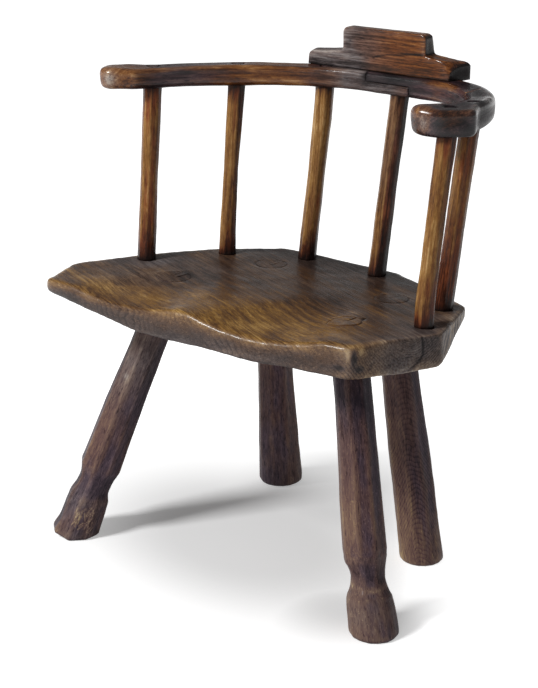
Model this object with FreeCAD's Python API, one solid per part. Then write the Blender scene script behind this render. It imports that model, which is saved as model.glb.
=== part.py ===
import FreeCAD, Part

import math
import os

from FreeCAD import Vector

# A low stick armchair: a saddled plank seat on four socketed legs, six sticks,
# an arm bow of two halves lapped at the back, and a stepped crest over the lap.
# Millimetres. Seen from its front, x runs right, y runs to the back and z up from the floor.
# Left and right are as seen from the front.

# Fits
FIT = 0.15

# Seat plank, whose top face passes through SEAT_HEIGHT on the line y = 0 and falls to the back
SEAT_HEIGHT = 399.0
SEAT_TILT = 2.3
SEAT_THICKNESS = 45.0
SEAT_FRONT_LEFT = (-285.0, -189.0)
SEAT_LEFT = (-311.0, -100.0)
SEAT_BACK_LEFT = (-143.0, 191.0)
SEAT_BACK_RIGHT = (66.0, 193.0)
SEAT_RIGHT_BACK = (240.0, 105.0)
SEAT_RIGHT = (287.0, -27.0)
SEAT_FRONT_RIGHT = (237.0, -160.0)
SEAT_FRONT_BOW = 12.0
SEAT_LEFT_BOW = 27.0
SEAT_CORNER_RADIUS = 20.0

# Hollows for the thighs, which run out through the front edge on each side of a pommel
LEFT_HOLLOW_X = -135.0
LEFT_HOLLOW_DEPTH = 10.0
LEFT_HOLLOW_RADIUS = 420.0
RIGHT_HOLLOW_X = 92.0
RIGHT_HOLLOW_DEPTH = 15.0
RIGHT_HOLLOW_RADIUS = 380.0
HOLLOW_RUN = 190.0

# Hewn bevels under the plank: how thick its edge is left, and how far in the bevel reaches
LEFT_EDGE = 20.0
BACK_EDGE = 20.0
RIGHT_BACK_EDGE = 15.0
RIGHT_EDGE = 44.0
BEVEL_REACH = 80.0
FRONT_LEFT_BEVEL_REACH = 175.0

# Flat sides of the shaved legs and sticks
SIDES = 8

# Legs: where each meets the seat top and the floor, and its widths
FRONT_LEFT_SOCKET = (-161.0, -46.0)
FRONT_LEFT_FOOT = (-277.0, -149.0)
FRONT_RIGHT_SOCKET = (157.0, -66.0)
FRONT_RIGHT_FOOT = (262.0, -135.0)
REAR_LEFT_SOCKET = (-100.0, 101.0)
REAR_LEFT_FOOT = (-161.0, 202.0)
REAR_RIGHT_SOCKET = (141.0, 67.0)
REAR_RIGHT_FOOT = (179.0, 104.0)
FRONT_LEG_AT_SEAT = 47.0
CALF = 57.0
CALF_HEIGHT = 115.0
ANKLE = 46.0
ANKLE_HEIGHT = 85.0
HOOF = 60.0
HOOF_HEIGHT = 48.0
SOLE = 65.0
REAR_LEG_AT_SEAT = 50.0
REAR_LEG_FOOT = 63.0
SOLE_CHAMFER = 3.0
LEG_TENON = 44.0
LEG_WEDGE = 4.0
LEG_WEDGE_DEPTH = 30.0

# Sticks: width at the seat, at the waist and at the arm, and the tenons at each end
STICK_FOOT = 26.0
STICK_WAIST = 24.5
SLIM_WAIST = 21.5
STICK_HEAD = 26.5
STICK_SEAT_TENON = 22.0
STICK_ARM_TENON = 17.0
STICK_WEDGE = 2.5
STICK_WEDGE_DEPTH = 16.0
STICK_RUN_IN = 10.0

# Where sticks stand: distance along a side of the seat from its first corner, and in from its edge
LEFT_FRONT_STICK_PLACE = (230.0, 27.0)
LEFT_MIDDLE_STICK_PLACE = (95.0, 29.0)
LEFT_BACK_STICK_PLACE = (147.0, 27.0)
RIGHT_BACK_STICK_PLACE = (14.0, 33.0)
RIGHT_MIDDLE_STICK_PLACE = (115.0, 27.0)
RIGHT_FRONT_STICK_PLACE = (22.0, 28.0)

# Where sticks meet the bow: distance along an arm from its end of the straight lap
LEFT_FRONT_STICK_RUN = 332.0
LEFT_MIDDLE_STICK_RUN = 206.0
LEFT_BACK_STICK_RUN = 75.0
RIGHT_BACK_STICK_RUN = -43.0
RIGHT_MIDDLE_STICK_RUN = 222.0
RIGHT_FRONT_STICK_RUN = 279.0

# Arm bow: a straight lap at the back, then bends down to the hand-holds
ARM_RISE = 254.5
ARM_WIDTH = 38.0
ARM_THICKNESS = 27.5
ARM_ARRIS = 4.0
BOW_BACK = 208.0
LAP_LEFT = 0.0
LAP_RIGHT = 95.0
LAP_LEFT_MARGIN = 3.0
LAP_RIGHT_MARGIN = 17.0
LEFT_BACK_RADIUS = 170.0
LEFT_BACK_TURN = 15.0
LEFT_ARM_RADIUS = 372.0
LEFT_ARM_TURN = 70.0
RIGHT_ARM_RADIUS = 160.0
RIGHT_ARM_TURN = 125.0
RIGHT_HAND_RISE = 5.0
HAND_RAMP_START = -110.0
HAND_RAMP = 60.0
HAND_CORNER = 10.0

# Hand-hold outlines: (distance past the front stick, distance outside the middle of the arm)
LEFT_HAND_NECK_OUT = -10.0
LEFT_HAND = ((24.0, 37.0), (56.0, 40.0), (72.0, 22.0), (70.0, 3.0))
LEFT_HAND_NECK_IN = 36.0
RIGHT_HAND_NECK_OUT = -40.0
RIGHT_HAND = ((-6.0, 37.0), (26.0, 12.0), (36.0, -14.0), (34.0, -37.0), (-4.0, -38.0))
RIGHT_HAND_NECK_IN = -34.0

# Crest
CREST_LEFT = -104.0
CREST_RIGHT = 137.0
CREST_SETBACK = 5.0
CREST_DEPTH = 36.0
CREST_SAG = 4.0
CREST_END_SPLAY = 22.0
CREST_LEFT_END = 20.0
CREST_LEFT_STEP = 26.0
CREST_RIGHT_STEP = 32.0
CREST_RIGHT_END = 27.0
CREST_HEIGHT = 62.0
CREST_LEFT_HEIGHT = 60.0
CREST_TOP_LEFT = -44.0
CREST_TOP_RIGHT = 97.0
CREST_NECK_DEPTH = 26.0
CREST_TOP_DEPTH = 18.0
CREST_CORNER = 8.0
CREST_PEG = 10.0
CREST_PEG_DEPTH = 18.0
CREST_PEG_PLACES = (-38.0, 26.0, 112.0)

# How far a cutting shape runs past what it cuts
PAST = 25.0
REACH = 2000.0
UP = Vector(0, 0, 1)

SEAT_PLACE = FreeCAD.Placement(
    Vector(0, 0, SEAT_HEIGHT), FreeCAD.Rotation(Vector(1, 0, 0), -SEAT_TILT))
ARM_LOW = SEAT_HEIGHT + ARM_RISE
ARM_TOP = ARM_LOW + ARM_THICKNESS


# Shared helpers
def flat(place):
    """A plan place as a point at height 0."""
    return Vector(place[0], place[1], 0)


def side_edge(start, end, bow):
    """One side of an outline, straight or bowed out to the right of its direction."""
    if bow == 0:
        return Part.makeLine(start, end)
    outward = (end - start).normalize().cross(UP)
    return Part.Arc(start, (start + end) * 0.5 + outward * bow, end).toShape()


def beyond(point, normal):
    """A block that fills the side of a plane that its normal points to."""
    block = Part.makeBox(2 * REACH, 2 * REACH, REACH, Vector(-REACH, -REACH, 0))
    block.Placement = FreeCAD.Placement(point, FreeCAD.Rotation(UP, normal))
    return block


def is_near(edge, place):
    """Whether an upright edge stands on a plan point."""
    ends = [vertex.Point for vertex in edge.Vertexes]
    return all(math.hypot(end.x - place.x, end.y - place.y) < 1e-3 for end in ends)


def upright_edges(shape, places):
    """The upright edges of a prism that stand on the given plan points."""
    return [edge for edge in shape.Edges if any(is_near(edge, place) for place in places)]


def rod(width, start, end):
    """A round bar along z."""
    return Part.makeCylinder(width / 2, end - start, Vector(0, 0, start))


def wedge_prism(width_across, thickness, depth, length):
    """A wedge whose thick end is flush with the far end of a tenon of the given length, along z."""
    half = thickness / 2
    slope = half / depth
    tip = length - depth
    end = length + PAST
    top_half = half + slope * PAST
    outline = Part.makePolygon([Vector(0, 0, tip), Vector(top_half, 0, end),
                                Vector(-top_half, 0, end), Vector(0, 0, tip)])
    prism = Part.Face(outline).extrude(Vector(0, width_across, 0))
    prism.translate(Vector(0, -width_across / 2, 0))
    return prism


def placed_between(low, high, spin=0):
    """The placement that sets z along a line, with a spin in degrees about it."""
    turn = FreeCAD.Rotation(UP, high - low).multiply(FreeCAD.Rotation(UP, spin))
    return FreeCAD.Placement(low, turn)


# Seat plank
SEAT_CORNERS = (SEAT_FRONT_LEFT, SEAT_FRONT_RIGHT, SEAT_RIGHT, SEAT_RIGHT_BACK,
                SEAT_BACK_RIGHT, SEAT_BACK_LEFT, SEAT_LEFT)
SEAT_BOWS = {SEAT_FRONT_LEFT: SEAT_FRONT_BOW, SEAT_BACK_LEFT: SEAT_LEFT_BOW}


def seat_side(corner):
    """The side of the plank that runs from a corner, with the plank on its left."""
    following = SEAT_CORNERS[(SEAT_CORNERS.index(corner) + 1) % len(SEAT_CORNERS)]
    return side_edge(flat(corner), flat(following), SEAT_BOWS.get(corner, 0))


def hollow(x, depth, radius):
    """A slanting cylinder that scoops the plank, deepest at the front edge."""
    front = min(SEAT_FRONT_LEFT[1], SEAT_FRONT_RIGHT[1])
    axis = Vector(0, HOLLOW_RUN, depth).normalize()
    start = Vector(x, front, radius - depth) - axis * REACH / 2
    return Part.makeCylinder(radius, REACH, start, axis)


def bevel(start, start_edge, end, end_edge, reach):
    """What is hewn off the underside along one side of the plank."""
    low = Vector(start[0], start[1], -start_edge)
    far = Vector(end[0], end[1], -end_edge)
    inner = (flat(start) + flat(end)) * 0.5
    inner = inner + UP.cross(flat(end) - flat(start)).normalize() * reach
    inner.z = -SEAT_THICKNESS
    return beyond(low, (inner - low).cross(far - low))


def make_seat_blank():
    """The shaped plank before any socket is bored."""
    outline = Part.Wire([seat_side(corner) for corner in SEAT_CORNERS])
    plank = Part.Face(outline).extrude(Vector(0, 0, -SEAT_THICKNESS))
    corners = [flat(corner) for corner in SEAT_CORNERS]
    plank = plank.makeFillet(SEAT_CORNER_RADIUS, upright_edges(plank, corners))
    hewn = ((SEAT_RIGHT, RIGHT_EDGE), (SEAT_RIGHT_BACK, RIGHT_BACK_EDGE), (SEAT_BACK_RIGHT, BACK_EDGE),
            (SEAT_BACK_LEFT, BACK_EDGE), (SEAT_LEFT, LEFT_EDGE))
    for (start, start_edge), (end, end_edge) in zip(hewn, hewn[1:]):
        plank = plank.cut(bevel(start, start_edge, end, end_edge, BEVEL_REACH))
    plank = plank.cut(bevel(SEAT_LEFT, LEFT_EDGE, SEAT_FRONT_LEFT, LEFT_EDGE, FRONT_LEFT_BEVEL_REACH))
    plank = plank.cut(hollow(LEFT_HOLLOW_X, LEFT_HOLLOW_DEPTH, LEFT_HOLLOW_RADIUS))
    plank = plank.cut(hollow(RIGHT_HOLLOW_X, RIGHT_HOLLOW_DEPTH, RIGHT_HOLLOW_RADIUS))
    plank.Placement = SEAT_PLACE
    return plank


# Legs
def eight_corners(width, height):
    """The corners of a regular eight-sided section, as wide as given across its flats."""
    radius = width / 2 / math.cos(math.pi / SIDES)
    angles = [math.pi * (2 * k + 1) / SIDES for k in range(SIDES)]
    return [Vector(radius * math.cos(a), radius * math.sin(a), height) for a in angles]


def shaved(stations):
    """A bar with eight flat sides through stations of (height along it, width)."""
    rings = [eight_corners(width, height) for height, width in stations]
    loops = [rings[0], rings[-1]]
    for low, high in zip(rings, rings[1:]):
        loops += [[low[k - 1], low[k], high[k], high[k - 1]] for k in range(SIDES)]
    faces = [Part.Face(Part.makePolygon(loop + loop[:1])) for loop in loops]
    return Part.Solid(Part.Shell(faces))


def front_leg_body(length):
    """A shaft that swells down to a calf, a waisted ankle and a hoof."""
    shaft = shaved([(CALF_HEIGHT, CALF), (length, FRONT_LEG_AT_SEAT)])
    waist = ((HOOF_HEIGHT, HOOF), (ANKLE_HEIGHT, ANKLE), (CALF_HEIGHT, CALF))
    rings = [eight_corners(width, height) for height, width in waist]
    ankle = Part.makeLoft([Part.makePolygon(ring + ring[:1]) for ring in rings], True)
    below = SOLE + (SOLE - HOOF) * PAST / HOOF_HEIGHT
    hoof = shaved([(-PAST, below), (HOOF_HEIGHT, HOOF)])
    return shaft.fuse([ankle, hoof])


def rear_leg_body(length):
    """A plain shaft that swells down to the floor."""
    below = REAR_LEG_FOOT + (REAR_LEG_FOOT - REAR_LEG_AT_SEAT) * PAST / length
    return shaved([(-PAST, below), (length, REAR_LEG_AT_SEAT)])


def make_leg(socket, foot, make_body, seat_blank):
    """One leg, the wedge in its tenon, and the socket that the seat needs for it."""
    low = flat(foot)
    high = SEAT_PLACE.multVec(flat(socket))
    length = (high - low).Length
    place = placed_between(low, high)
    body = make_body(length - SEAT_THICKNESS / 2)
    start = length - SEAT_THICKNESS - PAST
    tenon = rod(LEG_TENON, start, length + PAST)
    bore = rod(LEG_TENON + 2 * FIT, start, length + PAST)
    wedge = wedge_prism(2 * LEG_TENON, LEG_WEDGE, LEG_WEDGE_DEPTH, length)
    for shape in (body, tenon, bore, wedge):
        shape.Placement = place
    tenon = tenon.common(seat_blank)
    wedge = wedge.common(tenon)
    body = body.cut(beyond(Vector(0, 0, 0), Vector(0, 0, -1)))
    sole = [edge for edge in body.Edges if edge.BoundBox.ZMax < 1e-6]
    body = body.makeChamfer(SOLE_CHAMFER, sole)
    leg = body.cut(seat_blank).fuse(tenon).cut(wedge).removeSplitter()
    return leg, wedge, bore


# Arm bow
class Arm:
    """Half of the bow: where it starts, which way it bends, and the places along it."""

    def __init__(self, start, side, bends):
        self.start = start
        self.side = side
        self.bends = bends

    def at(self, run, out=0.0):
        """The plan point at a run along the middle of the arm, moved outwards."""
        heading = 0.0
        spot = Vector(0, 0, 0)
        left = run
        for radius, turn in self.bends:
            if left <= 0:
                break
            angle = min(left / radius, math.radians(turn))
            centre = spot - Vector(math.sin(heading), math.cos(heading), 0) * radius
            heading += angle
            spot = centre + Vector(math.sin(heading), math.cos(heading), 0) * radius
            left -= radius * math.radians(turn)
        if run < 0:
            spot = Vector(run, 0, 0)
        spot = spot + Vector(math.sin(heading), math.cos(heading), 0) * out
        return Vector(self.start.x + self.side * spot.x, self.start.y + spot.y, 0)

    def run_edges(self, begin, end, out):
        """The edges along one face of the arm, straight on the lap and round on each bend."""
        stops = [0.0]
        for radius, turn in self.bends:
            stops.append(stops[-1] + radius * math.radians(turn))
        stops = [begin] + [stop for stop in stops if begin < stop < end] + [end]
        edges = []
        for low, high in zip(stops, stops[1:]):
            ends = self.at(low, out), self.at(high, out)
            if high <= 0:
                edges.append(Part.makeLine(*ends))
            else:
                edges.append(Part.Arc(ends[0], self.at((low + high) / 2, out), ends[1]).toShape())
        return edges


LEFT_ARM = Arm(Vector(LAP_LEFT, BOW_BACK, 0), -1,
               ((LEFT_BACK_RADIUS, LEFT_BACK_TURN), (LEFT_ARM_RADIUS, LEFT_ARM_TURN)))
RIGHT_ARM = Arm(Vector(LAP_RIGHT, BOW_BACK, 0), 1, ((RIGHT_ARM_RADIUS, RIGHT_ARM_TURN),))


def make_arm_blank(arm, lap_run, stick_run, hand, neck_out, neck_in, hand_rise):
    """An arm with its hand-hold, at full thickness through the lap."""
    half = ARM_WIDTH / 2
    outer = arm.run_edges(-lap_run, stick_run + neck_out, half)
    inner = arm.run_edges(-lap_run, stick_run + neck_in, -half)
    corners = [arm.at(stick_run + past, out) for past, out in hand]
    path = [arm.at(stick_run + neck_out, half)] + corners + [arm.at(stick_run + neck_in, -half)]
    palm = [Part.makeLine(a, b) for a, b in zip(path, path[1:])]
    end = Part.makeLine(arm.at(-lap_run, half), arm.at(-lap_run, -half))
    outline = Part.Wire(Part.__sortEdges__(outer + palm + inner + [end]))
    blank = Part.Face(outline).extrude(Vector(0, 0, ARM_THICKNESS + hand_rise))
    blank = blank.makeFillet(HAND_CORNER, upright_edges(blank, path))
    blank.translate(Vector(0, 0, ARM_LOW))
    if hand_rise > 0:
        blank = blank.cut(planed_top(arm, stick_run + HAND_RAMP_START, hand_rise))
    return blank


def planed_top(arm, run, rise):
    """What is planed off an arm's top behind its hand-hold, with a ramp up to the hand."""
    spot = arm.at(run)
    ahead = (arm.at(run + 1) - spot).normalize()
    low = spot + UP * ARM_TOP
    high = low + ahead * HAND_RAMP + UP * rise
    above = UP * REACH
    outline = Part.makePolygon([low - ahead * REACH, low, high, high + above,
                                low - ahead * REACH + above, low - ahead * REACH])
    across = ahead.cross(UP)
    cutter = Part.Face(outline).extrude(across * 2 * REACH)
    cutter.translate(across * -REACH)
    return cutter


def lap_cut(start, end, upper):
    """The half of the bow's thickness that one arm gives up to the other between two places."""
    half = ARM_THICKNESS / 2
    block = Part.makeBox(end - start, ARM_WIDTH + 2 * PAST, half + PAST)
    base = ARM_LOW + half if upper else ARM_LOW - PAST
    block.translate(Vector(start, BOW_BACK - ARM_WIDTH / 2 - PAST, base))
    return block


def make_arm_blanks():
    """Both arms with their arrises shaved off, half-lapped at the back, before any mortise is bored."""
    lap_start = LAP_LEFT + LAP_LEFT_MARGIN
    lap_end = LAP_RIGHT - LAP_RIGHT_MARGIN
    left = make_arm_blank(LEFT_ARM, lap_end - LAP_LEFT, LEFT_FRONT_STICK_RUN, LEFT_HAND,
                          LEFT_HAND_NECK_OUT, LEFT_HAND_NECK_IN, 0)
    right = make_arm_blank(RIGHT_ARM, LAP_RIGHT - lap_start, RIGHT_FRONT_STICK_RUN, RIGHT_HAND,
                           RIGHT_HAND_NECK_OUT, RIGHT_HAND_NECK_IN, RIGHT_HAND_RISE)
    left = left.makeChamfer(ARM_ARRIS, arrises(left, lap_end))
    right = right.makeChamfer(ARM_ARRIS, arrises(right, lap_start))
    left = left.cut(lap_cut(lap_start, lap_end + PAST, True))
    right = right.cut(lap_cut(lap_start - PAST, lap_end, False))
    return left, right


def is_upright(face):
    """Whether a face stands straight up, like the sides of an arm."""
    low, high, begin, end = face.ParameterRange
    return abs(face.normalAt((low + high) / 2, (begin + end) / 2).z) < 1e-6


def arrises(blank, lap_x):
    """The long edges where an arm's sides meet its top and underside, without its end in the lap."""
    found = []
    for edge in blank.Edges:
        sides = [is_upright(face) for face in blank.ancestorsOfType(edge, Part.Face)]
        box = edge.BoundBox
        on_end = abs(box.XMin - lap_x) < 1e-3 and abs(box.XMax - lap_x) < 1e-3
        if any(sides) and not all(sides) and not on_end:
            found.append(edge)
    return found


# Sticks
def make_stick(corner, place, arm, run, waist, seat_blank, bow_blank):
    """One stick, the wedge in its upper tenon, and the bores it needs in the seat and the bow."""
    along, inset = place
    side = seat_side(corner)
    spot = side.getParameterByLength(along)
    inward = UP.cross(side.tangentAt(spot))
    low = SEAT_PLACE.multVec(side.valueAt(spot) + inward * inset)
    high = arm.at(run) + UP * ARM_LOW
    length = (high - low).Length
    ahead = arm.at(run + 1) - arm.at(run)
    frame = placed_between(low, high, math.degrees(math.atan2(ahead.y, ahead.x)))
    deep = SEAT_THICKNESS + PAST
    top = length + ARM_THICKNESS + PAST
    body = shaved([(-STICK_RUN_IN, STICK_FOOT), (length / 2, waist), (length + STICK_RUN_IN, STICK_HEAD)])
    seat_tenon = rod(STICK_SEAT_TENON, -deep, PAST)
    seat_bore = rod(STICK_SEAT_TENON + 2 * FIT, -deep, PAST)
    arm_tenon = rod(STICK_ARM_TENON, length - PAST, top)
    arm_bore = rod(STICK_ARM_TENON + 2 * FIT, length - PAST, top)
    wedge = wedge_prism(2 * STICK_ARM_TENON, STICK_WEDGE, STICK_WEDGE_DEPTH, length + ARM_THICKNESS)
    for shape in (body, seat_tenon, seat_bore, arm_tenon, arm_bore, wedge):
        shape.Placement = frame
    arm_tenon = arm_tenon.common(bow_blank)
    wedge = wedge.common(arm_tenon)
    body = body.cut([seat_blank, bow_blank])
    stick = body.fuse([seat_tenon.common(seat_blank), arm_tenon]).cut(wedge)
    return stick, wedge, seat_bore, arm_bore


# Crest
def make_crest():
    """A stepped block, slightly hollow in front, that stands on the bow over the lap."""
    front = BOW_BACK - ARM_WIDTH / 2 + CREST_SETBACK
    splay = CREST_DEPTH * math.tan(math.radians(CREST_END_SPLAY))
    left, right = Vector(CREST_LEFT, front, 0), Vector(CREST_RIGHT, front, 0)
    left_rear = left + Vector(-splay, CREST_DEPTH, 0)
    right_rear = right + Vector(splay, CREST_DEPTH, 0)
    plan = Part.Wire([side_edge(left, right, -CREST_SAG), Part.makeLine(right, right_rear),
                      side_edge(right_rear, left_rear, CREST_SAG), Part.makeLine(left_rear, left)])
    block = Part.Face(plan).extrude(UP * CREST_HEIGHT)
    outline = ((left_rear.x - PAST, 0), (left_rear.x - PAST, CREST_LEFT_END), (CREST_LEFT, CREST_LEFT_END),
               (CREST_TOP_LEFT, CREST_LEFT_STEP), (CREST_TOP_LEFT, CREST_LEFT_HEIGHT),
               (CREST_TOP_RIGHT, CREST_HEIGHT), (CREST_TOP_RIGHT, CREST_RIGHT_STEP),
               (CREST_RIGHT, CREST_RIGHT_END), (right_rear.x + PAST, CREST_RIGHT_END),
               (right_rear.x + PAST, 0), (left_rear.x - PAST, 0))
    elevation = Part.makePolygon([Vector(x, 0, z) for x, z in outline])
    block = block.common(Part.Face(elevation).extrude(Vector(0, REACH, 0)))
    rounded = [edge for edge in block.Edges if is_crest_corner(edge)]
    block = block.makeFillet(CREST_CORNER, rounded)
    ledge = min(CREST_LEFT_STEP, CREST_RIGHT_STEP)
    neck = front + CREST_SAG + CREST_NECK_DEPTH
    top = front + CREST_SAG + CREST_TOP_DEPTH
    rear = Part.makePolygon([Vector(-REACH, neck, ledge), Vector(-REACH, top, CREST_HEIGHT),
                             Vector(-REACH, REACH, CREST_HEIGHT), Vector(-REACH, REACH, ledge),
                             Vector(-REACH, neck, ledge)])
    block = block.cut(Part.Face(rear).extrude(Vector(2 * REACH, 0, 0)))
    block.translate(UP * ARM_TOP)
    return block


def is_crest_corner(edge):
    """Whether an edge runs from front to back over one of the four upper corners of the crest."""
    box = edge.BoundBox
    on_block = box.ZMin > CREST_LEFT_HEIGHT - 1e-3 and box.XLength < 1e-3
    left_end = box.XMax < CREST_LEFT + 1e-3 and abs(box.ZMin - CREST_LEFT_END) < 1e-3
    right_end = box.XMin > CREST_RIGHT - 1e-3 and abs(box.ZMin - CREST_RIGHT_END) < 1e-3
    return on_block or ((left_end or right_end) and box.ZLength < 1e-3)


def peg_rods(clearance):
    """Pegs driven up through the bow into the crest."""
    middle = BOW_BACK - ARM_WIDTH / 2 + CREST_SETBACK + CREST_SAG + CREST_TOP_DEPTH / 2
    pegs = []
    for x in CREST_PEG_PLACES:
        peg = rod(CREST_PEG + 2 * clearance, 0, ARM_THICKNESS + CREST_PEG_DEPTH)
        peg.translate(Vector(x, middle, ARM_LOW))
        pegs.append(peg)
    return pegs


# The whole chair
def make_nodes():
    """Every piece of the chair by name."""
    seat_blank = make_seat_blank()
    left_blank, right_blank = make_arm_blanks()
    bow_blank = left_blank.fuse(right_blank)
    legs = {
        "front_left_leg": (FRONT_LEFT_SOCKET, FRONT_LEFT_FOOT, front_leg_body),
        "front_right_leg": (FRONT_RIGHT_SOCKET, FRONT_RIGHT_FOOT, front_leg_body),
        "rear_left_leg": (REAR_LEFT_SOCKET, REAR_LEFT_FOOT, rear_leg_body),
        "rear_right_leg": (REAR_RIGHT_SOCKET, REAR_RIGHT_FOOT, rear_leg_body),
    }
    sticks = {
        "left_front_stick": (SEAT_BACK_LEFT, LEFT_FRONT_STICK_PLACE, LEFT_ARM, LEFT_FRONT_STICK_RUN),
        "left_middle_stick": (SEAT_BACK_LEFT, LEFT_MIDDLE_STICK_PLACE, LEFT_ARM, LEFT_MIDDLE_STICK_RUN),
        "left_back_stick": (SEAT_BACK_RIGHT, LEFT_BACK_STICK_PLACE, LEFT_ARM, LEFT_BACK_STICK_RUN),
        "right_back_stick": (SEAT_BACK_RIGHT, RIGHT_BACK_STICK_PLACE, RIGHT_ARM, RIGHT_BACK_STICK_RUN),
        "right_middle_stick": (SEAT_RIGHT, RIGHT_MIDDLE_STICK_PLACE, RIGHT_ARM, RIGHT_MIDDLE_STICK_RUN),
        "right_front_stick": (SEAT_RIGHT, RIGHT_FRONT_STICK_PLACE, RIGHT_ARM, RIGHT_FRONT_STICK_RUN),
    }
    nodes = {}
    seat_bores, arm_bores, leg_wedges, stick_wedges = [], [], [], []
    for name, (socket, foot, make_body) in legs.items():
        nodes[name], wedge, bore = make_leg(socket, foot, make_body, seat_blank)
        leg_wedges.append(wedge)
        seat_bores.append(bore)
    for name, (corner, place, arm, run) in sticks.items():
        waist = SLIM_WAIST if name == "left_middle_stick" else STICK_WAIST
        stick, wedge, seat_bore, arm_bore = make_stick(
            corner, place, arm, run, waist, seat_blank, bow_blank)
        nodes[name] = stick
        stick_wedges.append(wedge)
        seat_bores.append(seat_bore)
        arm_bores.append(arm_bore)
    peg_bores = peg_rods(FIT)
    nodes["seat"] = seat_blank.cut(seat_bores)
    nodes["left_arm"] = left_blank.cut(arm_bores + peg_bores)
    nodes["right_arm"] = right_blank.cut(arm_bores + peg_bores)
    nodes["crest"] = make_crest().cut(peg_bores)
    nodes["leg_wedges"] = Part.makeCompound(leg_wedges)
    nodes["stick_wedges"] = Part.makeCompound(stick_wedges)
    nodes["crest_pegs"] = Part.makeCompound(peg_rods(0))
    return nodes


def export(nodes):
    """Write one file per piece, with the chair's middle over the origin and its feet on z = 0."""
    box = Part.makeCompound(list(nodes.values())).optimalBoundingBox(False)
    shift = Vector(-box.Center.x, -box.Center.y, -box.ZMin)
    os.makedirs("parts", exist_ok=True)
    for name, shape in nodes.items():
        shape.translate(shift)
        solids = shape.Solids
        piece = solids[0] if len(solids) == 1 else Part.makeCompound(solids)
        piece.exportStep("parts/%s.step" % name)
        print(name, len(solids), "solids", piece.isValid(), round(piece.Volume))
    print("shift", shift)


export(make_nodes())
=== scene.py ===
"""Dresses the stick armchair: worn, waxed wood on the CAD frame, a white floor and soft studio light."""
import math

import bmesh
import bpy
import numpy as np
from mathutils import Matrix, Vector
from mathutils.bvhtree import BVHTree


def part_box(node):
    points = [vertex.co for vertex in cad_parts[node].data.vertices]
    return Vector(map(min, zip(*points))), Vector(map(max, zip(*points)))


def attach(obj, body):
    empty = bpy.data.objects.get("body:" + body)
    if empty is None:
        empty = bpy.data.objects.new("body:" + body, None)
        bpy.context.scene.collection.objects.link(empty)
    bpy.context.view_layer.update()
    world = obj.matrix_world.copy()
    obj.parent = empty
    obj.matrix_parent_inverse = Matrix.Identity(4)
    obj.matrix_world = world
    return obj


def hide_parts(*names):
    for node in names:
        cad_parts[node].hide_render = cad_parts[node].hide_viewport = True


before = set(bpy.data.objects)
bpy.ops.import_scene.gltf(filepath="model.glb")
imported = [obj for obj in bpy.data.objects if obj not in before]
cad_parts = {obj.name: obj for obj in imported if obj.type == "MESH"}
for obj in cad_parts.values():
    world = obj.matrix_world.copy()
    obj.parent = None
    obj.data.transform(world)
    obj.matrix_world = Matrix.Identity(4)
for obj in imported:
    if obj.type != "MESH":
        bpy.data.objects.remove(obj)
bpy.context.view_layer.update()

MM = 0.001

# Camera
CAMERA_PLACE = Vector((1.5225, -1.9519, 1.1509))
CAMERA_TARGET = Vector((0.0163, -0.0529, 0.3257))
LENS, SENSOR = 94.87, 36.0
IMAGE_LEFT = Vector((-0.7834, -0.6215, 0.0))


# Repeatable noise
def lattice(cell, seed):
    """A repeatable number from 0 to 1 for each whole-numbered cell."""
    mixed = cell[:, 0] * 374761393 + cell[:, 1] * 668265263 + cell[:, 2] * 2246822519 + seed * 3266489917
    mixed &= 0xFFFFFFFF
    mixed = ((mixed ^ (mixed >> 13)) * 1274126177) & 0xFFFFFFFF
    return ((mixed ^ (mixed >> 16)) & 0xFFFFFF) / 0xFFFFFF


def noise(points, size, seed):
    """Smooth noise from -1 to 1 at points, with features of a size per axis."""
    scaled = points / np.asarray(size, float)
    cell = np.floor(scaled).astype(np.int64)
    part = scaled - cell
    part = part * part * (3 - 2 * part)
    total = np.zeros(len(points))
    for corner in range(8):
        step = np.array([corner & 1, corner >> 1 & 1, corner >> 2 & 1])
        share = np.prod(np.where(step, part, 1 - part), axis=1)
        total += share * lattice(cell + step, seed)
    return 2 * total - 1


# Meshes
class Skin:
    """A piece's surface as arrays: places, edges and the smoothing between neighbours."""

    def __init__(self, mesh):
        self.mesh = mesh
        self.co = np.empty(len(mesh.vertices) * 3)
        mesh.vertices.foreach_get("co", self.co)
        self.co = self.co.reshape(-1, 3)
        edges = np.empty(len(mesh.edges) * 2, np.int64)
        mesh.edges.foreach_get("vertices", edges)
        self.edges = edges.reshape(-1, 2)
        self.degree = np.maximum(np.bincount(edges, minlength=len(self.co)), 1)

    def around(self, values):
        """The mean of each point's neighbours."""
        first, second = self.edges.T
        count = len(self.co)
        total = np.bincount(first, values[second], count) + np.bincount(second, values[first], count)
        return total / self.degree

    def smoothed(self, values, passes, share=None):
        """Values eased towards their neighbours, each by its own share from 0 to 1."""
        step = np.full(len(self.co), 0.5) if share is None else 0.5 * share
        columns = [column.copy() for column in np.atleast_2d(values.T)]
        for column in columns:
            for _ in range(passes):
                column += step * (self.around(column) - column)
        return columns[0] if values.ndim == 1 else np.stack(columns, axis=1)

    def write(self):
        """Puts the places back into the mesh."""
        self.mesh.vertices.foreach_set("co", self.co.ravel())
        self.mesh.update()

    def normals(self):
        """Unit normals at the points, for the places last written."""
        out = np.empty(len(self.co) * 3)
        self.mesh.vertex_normals.foreach_get("vector", out)
        return out.reshape(-1, 3)

    def store(self, name, values):
        """Keeps one number or one vector per point on the mesh for the materials."""
        kind, key = ("FLOAT", "value") if values.ndim == 1 else ("FLOAT_VECTOR", "vector")
        layer = self.mesh.attributes.new(name, kind, "POINT")
        layer.data.foreach_set(key, values.astype(np.float32).ravel())


def show(obj):
    """Puts an object in the scene."""
    bpy.context.scene.collection.objects.link(obj)


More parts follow.
